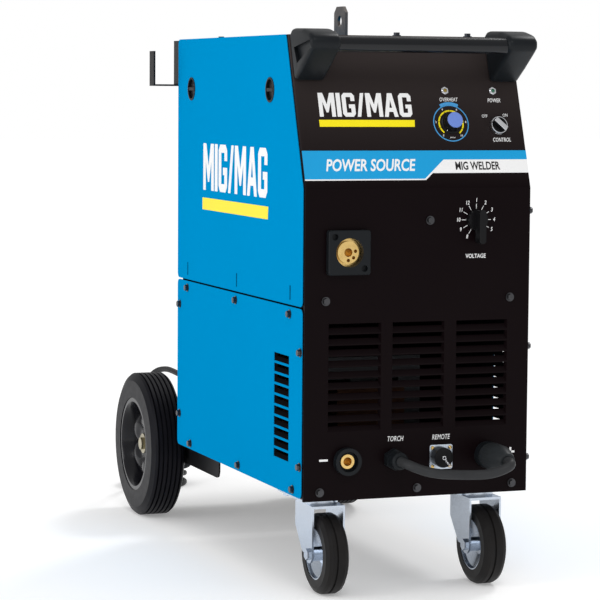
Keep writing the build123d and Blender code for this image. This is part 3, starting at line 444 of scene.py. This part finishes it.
def addBlockWords(bm, words, wide, high, place):
    gap = 8
    total = sum(blockLetters[letter][0] for letter in words) + gap * (len(words) - 1)
    across = -total / 2
    for letter in words:
        width, outlines = blockLetters[letter]
        for outline in outlines:
            spots = [((across + x) * wide / total, (y / 100 - 0.5) * high) for x, y in outline]
            addPatch(bm, spots, place)
        across += width + gap


def inked(name, bm, finish, body):
    bmesh.ops.remove_doubles(bm, verts=bm.verts, dist=1e-6)
    return makePiece(name, meshFrom(bm, name), finish, body)


# ---- lettering and stripes

wireSpeed = (64.7 * mm, 104 * mm)
controlSwitch = (142.7 * mm, 99 * mm)
tapSwitch = (94 * mm, 577 * mm)
stripes = {"top": 60, "bandTop": 45.5, "bandFoot": 24, "lineFoot": 13, "lineTop": 15, "edge": 185.5}
overBand = 0.14 * mm  # lettering lies on the stripe's ink


def makeStripes():
    face = upperFace(0, 0)
    edge = stripes["edge"]
    blue = bmesh.new()
    addPatch(
        blue,
        (
            (-edge, stripes["lineTop"]), (10, stripes["lineTop"]), (44.5, stripes["bandTop"]),
            (edge, stripes["bandTop"]), (edge, stripes["top"]), (-edge, stripes["top"]),
        ),
        face,
    )
    inked("control_face_blue_stripe", blue, "blueInk", "cabinet")
    white = bmesh.new()
    addPatch(
        white,
        (
            (-edge, stripes["lineFoot"]), (11.5, stripes["lineFoot"]), (24, stripes["bandFoot"]),
            (edge, stripes["bandFoot"]), (edge, stripes["bandTop"]), (44.5, stripes["bandTop"]),
            (10, stripes["lineTop"]), (-edge, stripes["lineTop"]),
        ),
        face,
    )
    inked("control_face_white_band", white, "white", "cabinet")
    words = bmesh.new()
    addText(words, "MIG WELDER", 18, upperFace(100 * mm, 34.7 * mm, overBand), 0.4, 0, 0.7)
    inked("machine_type_lettering", words, "blackInk", "cabinet")
    words = bmesh.new()
    addText(words, "POWER SOURCE", 26, upperFace(-78 * mm, 36 * mm, overBand), 0.6, 0.25, 0.74)
    inked("stripe_lettering", words, "white", "cabinet")
    yellow = bmesh.new()
    addPatch(yellow, ((-152, 98), (3.5, 98), (4.5, 109), (-152, 109)), face)
    inked("control_face_yellow_bar", yellow, "yellow", "cabinet")
    words = bmesh.new()
    addBlockWords(words, "MIG/MAG", 152, 38, upperFace(-74 * mm, 133 * mm))
    inked("control_face_title", words, "white", "cabinet")


tapScale = {"numbers": 30, "ticks": (17, 24.5), "halfTick": 0.45}


def makeFaceLabels():
    white = bmesh.new()
    small = {"bold": 0.06, "slant": 0.2, "narrow": 0.68, "spacing": 1.06}
    addText(white, "OVERHEAT", 8.6, upperFace(65 * mm, 142 * mm), **small)
    addText(white, "POWER", 9, upperFace(142 * mm, 141 * mm), **small)
    addText(white, "CONTROL", 9, upperFace(147 * mm, 77 * mm), **small)
    addText(white, "OFF", 7, upperFace(123 * mm, 115.5 * mm), narrow=0.8)
    addText(white, "ON", 7, upperFace(158 * mm, 117 * mm), narrow=0.8)
    addText(white, "TORCH", 11, lowerFace(-37 * mm, 242.7 * mm), **small)
    addText(white, "REMOTE", 11, lowerFace(39 * mm, 242.4 * mm), **small)
    for x, bars in ((-154, ((7, 1.6),)), (157.5, ((7, 1.6), (1.6, 7)))):
        for wide, high in bars:
            outline = ((-wide, -high), (wide, -high), (wide, high), (-wide, high))
            addPatch(white, outline, lowerFace(x * mm, 214.5 * mm))
    for number in range(1, 13):
        around = math.radians(90 - 30 * (number - 1))
        out = Vector((math.cos(around), math.sin(around)))
        across = Vector((-out.y, out.x)) * tapScale["halfTick"]
        label = [middle + tapScale["numbers"] * mm * part for middle, part in zip(tapSwitch, out)]
        addText(white, str(number), 8.5, lowerFace(*label), 0.12, 0.15, 0.8)
        start, end = (out * reach for reach in tapScale["ticks"])
        addPatch(white, [start - across, end - across, end + across, start + across], lowerFace(*tapSwitch))
    addText(white, "VOLTAGE", 9, lowerFace(tapSwitch[0], 521 * mm), 0.12, 0, 0.85)
    inked("control_face_lettering", white, "white", "cabinet")


speedScale = {"ring": (28, 29.6), "banner": (29.2, 34), "arc": (18.8, 21.2), "numbers": 25, "unit": 23}


def makeSpeedDial():
    face = upperFace(*wireSpeed)
    sky = bmesh.new()
    addArc(sky, speedScale["ring"], 0, 360, face, 60)
    addArc(sky, speedScale["banner"], 62, 118, face, 16)
    inked("wire_speed_scale_ring", sky, "skyInk", "cabinet")
    yellow = bmesh.new()
    for part in range(10):
        addArc(yellow, speedScale["arc"], -52 + part * 28.4, -26.4 + part * 28.4, face, 6)
    inked("wire_speed_scale_arc", yellow, "yellow", "cabinet")
    white = bmesh.new()
    for part in range(0, 11, 2):
        around = math.radians(-53 + part * 28.6)
        reach = speedScale["numbers"] * mm
        place = upperFace(wireSpeed[0] + reach * math.cos(around), wireSpeed[1] + reach * math.sin(around))
        addText(white, str(10 - part), 4.5, place, 0.05)
    addText(white, "m/min", 3.6, upperFace(wireSpeed[0], wireSpeed[1] - speedScale["unit"] * mm))
    inked("wire_speed_scale_numbers", white, "white", "cabinet")


doorMiddle = frontY + 327 * mm


def makeDoorTitle():
    white = bmesh.new()
    addBlockWords(white, "MIG/MAG", 322, 78, doorFace(doorMiddle, 644 * mm))
    inked("door_title", white, "white", "door")
    yellow = bmesh.new()
    addPatch(yellow, ((-165, -10), (164, -10), (166, 10), (-165, 10)), doorFace(doorMiddle, 582 * mm))
    inked("door_yellow_bar", yellow, "yellow", "door")


makeStripes()
makeFaceLabels()
makeSpeedDial()
makeDoorTitle()
print("lettering done")

# ---- cords

cable = {"leadWidth": 15.2 * mm, "mainsWidth": 10.5 * mm}


def cordCurve(name, points, width, finish):
    curve = bpy.data.curves.new(name, "CURVE")
    curve.dimensions = "3D"
    curve.bevel_depth = width / 2
    curve.bevel_resolution = 5
    curve.resolution_u = 10
    curve.use_fill_caps = True
    spline = curve.splines.new("NURBS")
    spline.points.add(len(points) - 1)
    for point, place in zip(spline.points, points):
        point.co = (*[value * mm for value in place], 1)
    spline.order_u = 3
    spline.use_endpoint_u = True
    curve.materials.append(look[finish])
    obj = bpy.data.objects.new(name, curve)
    bpy.context.scene.collection.objects.link(obj)
    return obj


def curveLength(obj):
    bare = obj.data.copy()
    bare.bevel_depth = 0
    holder = bpy.data.objects.new("bare", bare)
    line = bpy.data.meshes.new_from_object(holder)
    spots = [vert.co for vert in line.vertices]
    total = sum((spots[edge.vertices[0]] - spots[edge.vertices[1]]).length for edge in line.edges)
    bpy.data.objects.remove(holder)
    bpy.data.curves.remove(bare)
    bpy.data.meshes.remove(line)
    return total


front = frontY / mm
rear = front + 630
glandX, glandZ = -40.0, 212.0
plugX, plugZ = 117.0, 212.0
leadRoute = (
    (glandX, front - 18, glandZ),
    (glandX, front - 40, glandZ),
    (glandX + 7, front - 57, glandZ - 3.5),
    (glandX + 22, front - 69, glandZ - 9.5),
    (glandX + 40, front - 75, glandZ - 13.5),
    (glandX + 60, front - 77.5, glandZ - 15.5),
    (glandX + 81, front - 79, glandZ - 16.8),
    (glandX + 102, front - 82, glandZ - 17.6),
    (glandX + 119, front - 88, glandZ - 16.5),
    (glandX + 133, front - 94, glandZ - 12.5),
    (plugX - 11, front - 98, plugZ - 7),
    (plugX - 2, front - 95, plugZ - 2),
    (plugX, front - 85, plugZ),
    (plugX, front - 75, plugZ),
)
mainsX, mainsZ = -112.0, 240.0
mainsRoute = (
    (mainsX, rear + 8, mainsZ),
    (mainsX, rear + 68, mainsZ),
    (mainsX - 1.5, rear + 124, mainsZ + 2.5),
    (mainsX - 4, rear + 176, mainsZ + 8),
    (mainsX - 6, rear + 232, mainsZ + 12),
    (mainsX - 9, rear + 288, mainsZ + 14),
    (mainsX - 20, rear + 334, mainsZ + 2),
    (mainsX - 30, rear + 366, mainsZ - 38),
    (mainsX - 36, rear + 388, mainsZ - 86),
    (mainsX - 36, rear + 408, mainsZ - 136),
    (mainsX - 32, rear + 430, mainsZ - 182),
    (mainsX - 24, rear + 458, mainsZ - 216),
    (mainsX - 17, rear + 484, mainsZ - 231),
)
coil = {"centre": (-75.5, front + 1133.0), "inner": 47.25, "outer": 57.75, "perTurn": 16, "turns": 5.35}


def coilPoints():
    # each entry: turn count reached, radius, height of the cord's middle
    low, middle, high = (cable["mainsWidth"] / mm * (layer + 0.5) for layer in range(3))
    stations = (
        (0, coil["outer"], low), (0.87, coil["outer"], low), (1.0, coil["inner"], low),
        (1.75, coil["inner"], low), (1.87, coil["inner"], middle), (2.6, coil["inner"], middle),
        (2.73, coil["outer"], middle), (3.45, coil["outer"], middle), (3.6, coil["outer"], high),
        (4.3, coil["outer"], high), (4.45, coil["inner"], high), (5.0, coil["inner"], high),
        (5.25, coil["inner"], high + 4), (coil["turns"], coil["inner"] + 5, high + 18),
    )
    pull = math.cos(math.pi / coil["perTurn"])  # the smooth line cuts inside its points
    points = []
    for step in range(int(coil["turns"] * coil["perTurn"]) + 1):
        turn = step / coil["perTurn"]
        place = next(i for i in range(len(stations) - 1) if stations[i + 1][0] >= turn)
        (t0, r0, z0), (t1, r1, z1) = stations[place], stations[place + 1]
        share = (turn - t0) / (t1 - t0)
        radius = (r0 + (r1 - r0) * share) / pull
        around = math.pi - turn * 2 * math.pi
        x, y = coil["centre"]
        height = z0 + (z1 - z0) * share
        points.append((x + radius * math.cos(around), y + radius * math.sin(around), height))
    return points


def makeCords():
    lead = cordCurve("torch_lead_cable", leadRoute, cable["leadWidth"], "jacket")
    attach(lead, "cabinet")
    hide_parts("torch_lead")
    curveLength(lead)
    x, y = coil["centre"]
    plugEnd = ((x + 42, y + 48, 51.5), (x + 45, y + 38, 51.8), (x + 45.4, y + 28, 51.8))
    route = (*mainsRoute, *coilPoints(), *plugEnd)
    mains = cordCurve("mains_lead", route, cable["mainsWidth"], "jacket")
    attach(mains, "cabinet")
    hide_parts("mains_cord", "mains_coil")
    curveLength(mains)


def softened(node, width, finish, body):
    sharpAngle = math.radians(25)
    bm = bmesh.new()
    bm.from_mesh(nodes[node].data)
    bmesh.ops.remove_doubles(bm, verts=bm.verts, dist=1e-5)
    bmesh.ops.dissolve_limit(bm, angle_limit=math.radians(2), verts=bm.verts, edges=bm.edges)
    sharp = [e for e in bm.edges if len(e.link_faces) == 2 and e.calc_face_angle(0) > sharpAngle]
    bmesh.ops.bevel(
        bm, geom=sharp, offset=width * mm, offset_type="OFFSET", affect="EDGES", segments=3,
        profile=0.5, material=-1, clamp_overlap=True,
    )
    piece = makePiece(node + "_moulding", meshFrom(bm, node + "_moulding"), finish, body, 40)
    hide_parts(node)
    return piece


def torus(bm, rings, place, steps=(16, 8)):  # steps: round the ring, round its section
    middle, thick = rings
    made = bmesh.ops.create_circle(bm, segments=steps[1], radius=thick * mm)["verts"]
    stand = Matrix.Translation((middle * mm, 0, 0)) @ Matrix.Rotation(math.pi / 2, 4, "X")
    bmesh.ops.transform(bm, matrix=stand, verts=made)
    edges = list({edge for vert in made for edge in vert.link_edges})
    bmesh.ops.spin(
        bm, geom=made + edges, cent=(0, 0, 0), axis=(0, 0, 1), angle=2 * math.pi, steps=steps[0],
        use_merge=True,
    )
    verts = {vert for vert in made if vert.is_valid}
    todo = list(verts)
    while todo:  # everything that hangs on the section is this ring
        for edge in todo.pop().link_edges:
            for vert in edge.verts:
                if vert not in verts:
                    verts.add(vert)
                    todo.append(vert)
    bmesh.ops.transform(bm, matrix=place, verts=list(verts))


def turnedForm(profile, place, steps=48, closed=False):
    # profile: points of radius and height, spun about the place's z axis
    bm = bmesh.new()
    verts = [bm.verts.new((radius * mm, 0, height * mm)) for radius, height in profile]
    pairs = list(zip(verts, verts[1:])) + ([(verts[-1], verts[0])] if closed else [])
    edges = [bm.edges.new(pair) for pair in pairs]
    bmesh.ops.spin(
        bm, geom=verts + edges, cent=(0, 0, 0), axis=(0, 0, 1), angle=2 * math.pi, steps=steps,
        use_merge=True,
    )
    bmesh.ops.remove_doubles(bm, verts=bm.verts, dist=1e-6)
    bmesh.ops.transform(bm, matrix=place, verts=bm.verts)
    return bm


def roundedBar(size, heights, width, place):
    bm = bmesh.new()
    bmesh.ops.create_cube(bm, size=1)
    low, high = heights
    scaled = Matrix.Diagonal((size[0] * mm, size[1] * mm, (high - low) * mm, 1))
    lift = Matrix.Translation((0, 0, (low + high) / 2 * mm))
    bmesh.ops.transform(bm, matrix=lift @ scaled, verts=bm.verts)
    bmesh.ops.bevel(
        bm, geom=bm.edges, offset=width * mm, affect="EDGES", segments=3, profile=0.5, material=-1,
        clamp_overlap=True,
    )
    bmesh.ops.transform(bm, matrix=place, verts=bm.verts)
    return bm


def carved(mesh, cutter):
    block = bpy.data.objects.new("block", mesh)
    tool = bpy.data.objects.new("tool", cutter)
    for obj in (block, tool):
        bpy.context.scene.collection.objects.link(obj)
    cut = block.modifiers.new("pocket", "BOOLEAN")
    cut.operation = "DIFFERENCE"
    cut.object = tool
    bpy.context.view_layer.update()
    cutBlock = block.evaluated_get(bpy.context.evaluated_depsgraph_get())
    result = bpy.data.meshes.new_from_object(cutBlock)
    bpy.data.objects.remove(block)
    bpy.data.objects.remove(tool)
    return result


# ---- handle ends

handleEnd = {
    "inner": 137, "outer": 186, "round": 6.8, "pocketDepth": 6,
    "side": (
        (54.9, 786), (22, 808), (-6, 828), (-20, 838), (-20, 852), (-8, 860), (20, 866), (68, 867),
        (79.7, 858),
    ),
    "pocket": ((56, 838), (-13, 849), (-15, 837), (42, 814)),
}


def sidePrism(outline, start, end):
    bm = bmesh.new()
    corners = [bm.verts.new((start * mm, frontY + y * mm, z * mm)) for y, z in outline]
    face = bm.faces.new(corners)
    grown = bmesh.ops.extrude_face_region(bm, geom=[face])
    tops = [item for item in grown["geom"] if isinstance(item, bmesh.types.BMVert)]
    bmesh.ops.translate(bm, verts=tops, vec=((end - start) * mm, 0, 0))
    return bm


def makeHandleEnds():
    for side, label in ((-1, "left"), (1, "right")):
        bm = sidePrism(handleEnd["side"], side * handleEnd["inner"], side * handleEnd["outer"])
        bmesh.ops.recalc_face_normals(bm, faces=bm.faces)
        bmesh.ops.bevel(
            bm, geom=bm.edges, offset=handleEnd["round"] * mm, affect="EDGES", segments=5, profile=0.5,
            material=-1, clamp_overlap=True,
        )
        deep = side * (handleEnd["outer"] - handleEnd["pocketDepth"])
        cutter = sidePrism(handleEnd["pocket"], side * (handleEnd["outer"] + 2), deep)
        mesh = carved(meshFrom(bm, "handle_end"), meshFrom(cutter, "pocket"))
        mesh.name = "handle_end_" + label
        piece = makePiece("handle_end_" + label, mesh, "mould", "cabinet", 38)
        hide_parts("handle_end_caps")


# ---- knobs

# profiles are radius and height over the control face
knobFoot = 0.4 * mm
speedKnob = {
    "body": (
        (0, 0), (17, 0), (17, 1), (16.2, 1.6), (14, 1.8), (13.7, 3), (13, 14.8), (12.4, 15.6), (0, 15.6),
    ),
    "cap": ((0, 15.4), (12.4, 15.4), (12.4, 17.2), (11.8, 18), (10.4, 18.2), (0, 17.9)),
    "line": ((13.9, -0.4), (16, -0.4), (16, 0.4), (13.9, 0.4)),
    "lineHeight": 1.8, "lineTurn": 235,
}
controlKnob = {
    "rim": (
        (14.5, 0), (14.5, 4.4), (14.1, 5.2), (14.1, 7), (13.4, 8.2), (12.4, 8.2), (11.9, 7.2), (11.9, 0),
    ),
    "dish": ((0, 0), (11.9, 0), (11.9, 6.6), (0, 6.2)),
    "grip": ((8, 23.4), (5, 13.8), 1.4),
    "strip": ((7.6, 23), (13.6, 15.2), 0.6),
    "turn": 45,
}


def knobPiece(name, bm, finish, body):
    return makePiece(name, meshFrom(bm, name), finish, body, 35)


def makeSpeedKnob():
    place = upperFace(*wireSpeed, knobFoot)
    piece = knobPiece("wire_speed_knob_body", turnedForm(speedKnob["body"], place, 60), "knob", "wire_speed")
    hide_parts("wire_speed_knob")
    knobPiece("wire_speed_knob_cap", turnedForm(speedKnob["cap"], place, 60), "lilac", "wire_speed")
    line = bmesh.new()
    turn = Matrix.Rotation(math.radians(speedKnob["lineTurn"]), 4, "Z")
    lift = Matrix.Translation((0, 0, speedKnob["lineHeight"] * mm))
    addPatch(line, speedKnob["line"], place @ lift @ turn)
    mesh = meshFrom(line, "wire_speed_pointer")
    makePiece("wire_speed_pointer", mesh, "white", "wire_speed")


def makeControlKnob():
    place = upperFace(*controlSwitch, knobFoot)
    rim = turnedForm(controlKnob["rim"], place, 60, closed=True)
    piece = knobPiece("control_knob_rim", rim, "chrome", "control")
    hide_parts("control_knob")
    knobPiece("control_knob_dish", turnedForm(controlKnob["dish"], place, 48), "knob", "control")
    turned = place @ Matrix.Rotation(math.radians(controlKnob["turn"]), 4, "Z")
    knobPiece("control_knob_grip", roundedBar(*controlKnob["grip"], turned), "knob", "control")
    knobPiece("control_knob_strip", roundedBar(*controlKnob["strip"], turned), "chrome", "control")


# ---- remote socket trimmings

remoteSocket = {"place": (39, 212), "screwOffset": 14.5, "screwOut": 3.9, "screwRadius": 2.9, "capOut": 14.6}
capChain = {"links": 9, "link": (1.15, 0.36), "bendsAt": 0.72, "fall": 38, "lean": -40}


def makeRemoteTrim():
    x, z = remoteSocket["place"]
    off = remoteSocket["screwOffset"]
    heads = bmesh.new()
    flat = Matrix.Diagonal((1, 1, 0.5, 1))
    for across in (-off, off):
        for up in (-off, off):
            radius = remoteSocket["screwRadius"] * mm
            made = bmesh.ops.create_uvsphere(heads, u_segments=20, v_segments=10, radius=radius)["verts"]
            place = lowerFace((x + across) * mm, (z + up) * mm, remoteSocket["screwOut"] * mm)
            bmesh.ops.transform(heads, matrix=place @ flat, verts=made)
    mesh = meshFrom(heads, "remote_socket_screws")
    makePiece("remote_socket_screws", mesh, "brass", "cabinet", 40)
    ring = bmesh.new()
    torus(ring, (2.6, 0.75), lowerFace(x * mm, z * mm, (remoteSocket["capOut"] + 0.9) * mm))
    makePiece("dust_cap_ring", meshFrom(ring, "dust_cap_ring"), "chrome", "dust_cap", 60)
    chain = bmesh.new()
    leant = Matrix.Rotation(math.radians(capChain["lean"]), 4, "Z")
    oval = Matrix.Diagonal((0.75, 1.2, 1, 1))
    onCap = remoteSocket["capOut"] + 0.8
    for link in range(capChain["links"]):
        share = (link + 0.5) / capChain["links"]
        out = onCap - max(0.0, share - capChain["bendsAt"]) * capChain["fall"]
        sideways = x + 2 + (off - 2) * share ** 1.4
        down = z - 2 - (off + 0.5) * share
        spot = lowerFace(sideways * mm, down * mm, out * mm)
        crossed = Matrix.Rotation(math.radians(90 * (link % 2)), 4, "Y")
        torus(chain, capChain["link"], spot @ leant @ crossed @ oval, (12, 6))
    makePiece("dust_cap_chain", meshFrom(chain, "dust_cap_chain"), "chrome", "cabinet", 60)


# ---- rear wheel centres

# profile: radius, and distance out from the wheel's middle
wheelCentre = {
    "rim": ((74, -30.2), (83.8, -30.2), (83.8, 30.2), (77, 30.2), (72.5, 24), (71.2, 6), (69, 1)),
    "web": (66, 1.5), "webStep": (-4.2, 0.85), "webPoints": 10,
    "hub": ((24, 10), (10.3, 10), (10.3, -28), (24, -28), (24, -10), (70, -10), (72.5, -22)),
    "lobes": 5, "rise": 12, "from": 27, "to": 68,
}


def makeWheelCentres():
    (radius, out), (inwards, outwards) = wheelCentre["web"], wheelCentre["webStep"]
    web = [(radius + step * inwards, out + step * outwards) for step in range(wheelCentre["webPoints"])]
    profile = (*wheelCentre["rim"], *web, *wheelCentre["hub"])
    for side, label in ((-1, "left"), (1, "right")):
        bm = turnedForm(profile, Matrix.Identity(4), 100, closed=True)
        for vert in bm.verts:
            radius = math.hypot(vert.co.x, vert.co.y) / mm
            if vert.co.z > 0 and wheelCentre["from"] < radius < wheelCentre["to"]:
                along = (radius - wheelCentre["from"]) / (wheelCentre["to"] - wheelCentre["from"])
                around = math.atan2(vert.co.y, vert.co.x)
                lobe = abs(math.cos(wheelCentre["lobes"] / 2 * around)) ** 0.45
                vert.co.z += wheelCentre["rise"] * mm * lobe * math.sin(math.pi * along) ** 0.7
        low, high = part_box("rear_rim_" + label)
        place = facePlace((low + high) / 2, (0, side, 0), (0, 0, 1))
        bmesh.ops.transform(bm, matrix=place, verts=bm.verts)
        name = "rear_wheel_centre_" + label
        piece = makePiece(name, meshFrom(bm, name), "wheel", "rear_wheel_" + label, 42)
        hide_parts("rear_rim_" + label)


plugBody = softened("lead_plug", 0.8, "sleeve", "cabinet")
makeCords()
print("cords laid")
makeHandleEnds()
makeSpeedKnob()
makeControlKnob()
makeRemoteTrim()
makeWheelCentres()
print("handle, knobs, socket trim and wheel centres made")

# ---- floor and light

studio = {"sky": 0.7, "skyInGloss": 0.55, "floorGlow": 0.24}


def makeSky():  # the sky's strength depends on what the ray is for
    world = bpy.data.worlds.new("studio")
    world.use_nodes = True
    tree = world.node_tree
    background = tree.nodes["Background"]
    background.inputs[0].default_value = (1, 1, 1, 1)
    path = tree.nodes.new("ShaderNodeLightPath")
    steps = ((path.outputs["Is Glossy Ray"], studio["skyInGloss"]), (path.outputs["Is Camera Ray"], 1.0))
    strength = None
    for ray, level in steps:
        choose = tree.nodes.new("ShaderNodeMix")
        choose.inputs[2].default_value = studio["sky"]
        choose.inputs[3].default_value = level
        tree.links.new(ray, choose.inputs[0])
        if strength:
            tree.links.new(strength, choose.inputs[2])
        strength = choose.outputs[0]
    tree.links.new(strength, background.inputs[1])
    bpy.context.scene.world = world


def makeFloor():
    bm = bmesh.new()
    bmesh.ops.create_grid(bm, x_segments=2, y_segments=2, size=30)
    floor = bpy.data.objects.new("studio_floor", meshFrom(bm, "studio_floor"))
    bpy.context.scene.collection.objects.link(floor)
    shader = Shader("floorPaper", Roughness=1.0, Specular_IOR_Level=0.0)
    shader.set(Base_Color=shader.mix(shader.noise(2, 2), (0.9, 0.9, 0.9), (0.91, 0.91, 0.91)))
    shader.set(Emission_Color=(1, 1, 1), Emission_Strength=studio["floorGlow"])
    floor.data.materials.append(shader.material)


def addLamp(name, kind, place, target, energy, size):
    data = bpy.data.lights.new(name, kind)
    data.energy = energy
    if kind == "SUN":
        data.angle = size
    else:
        data.size = size
    lamp = bpy.data.objects.new(name, data)
    lamp.location = place
    lamp.rotation_euler = (Vector(target) - Vector(place)).to_track_quat("-Z", "Y").to_euler()
    bpy.context.scene.collection.objects.link(lamp)


def makeStudio():
    bpy.context.scene.view_settings.view_transform = "Standard"
    makeSky()
    makeFloor()
    addLamp("sun_from_right", "SUN", (2.2, 1.6, 3.0), (0, 0, 0), 0.8, 0.25)
    addLamp("soft_left", "AREA", (-3.2, -0.8, 1.4), (0, 0, 0.5), 26, 1.8)
    addLamp("strip_front", "AREA", (-0.6, -2.6, 2.6), (0, 0, 0.7), 16, 0.9)


makeStudio()
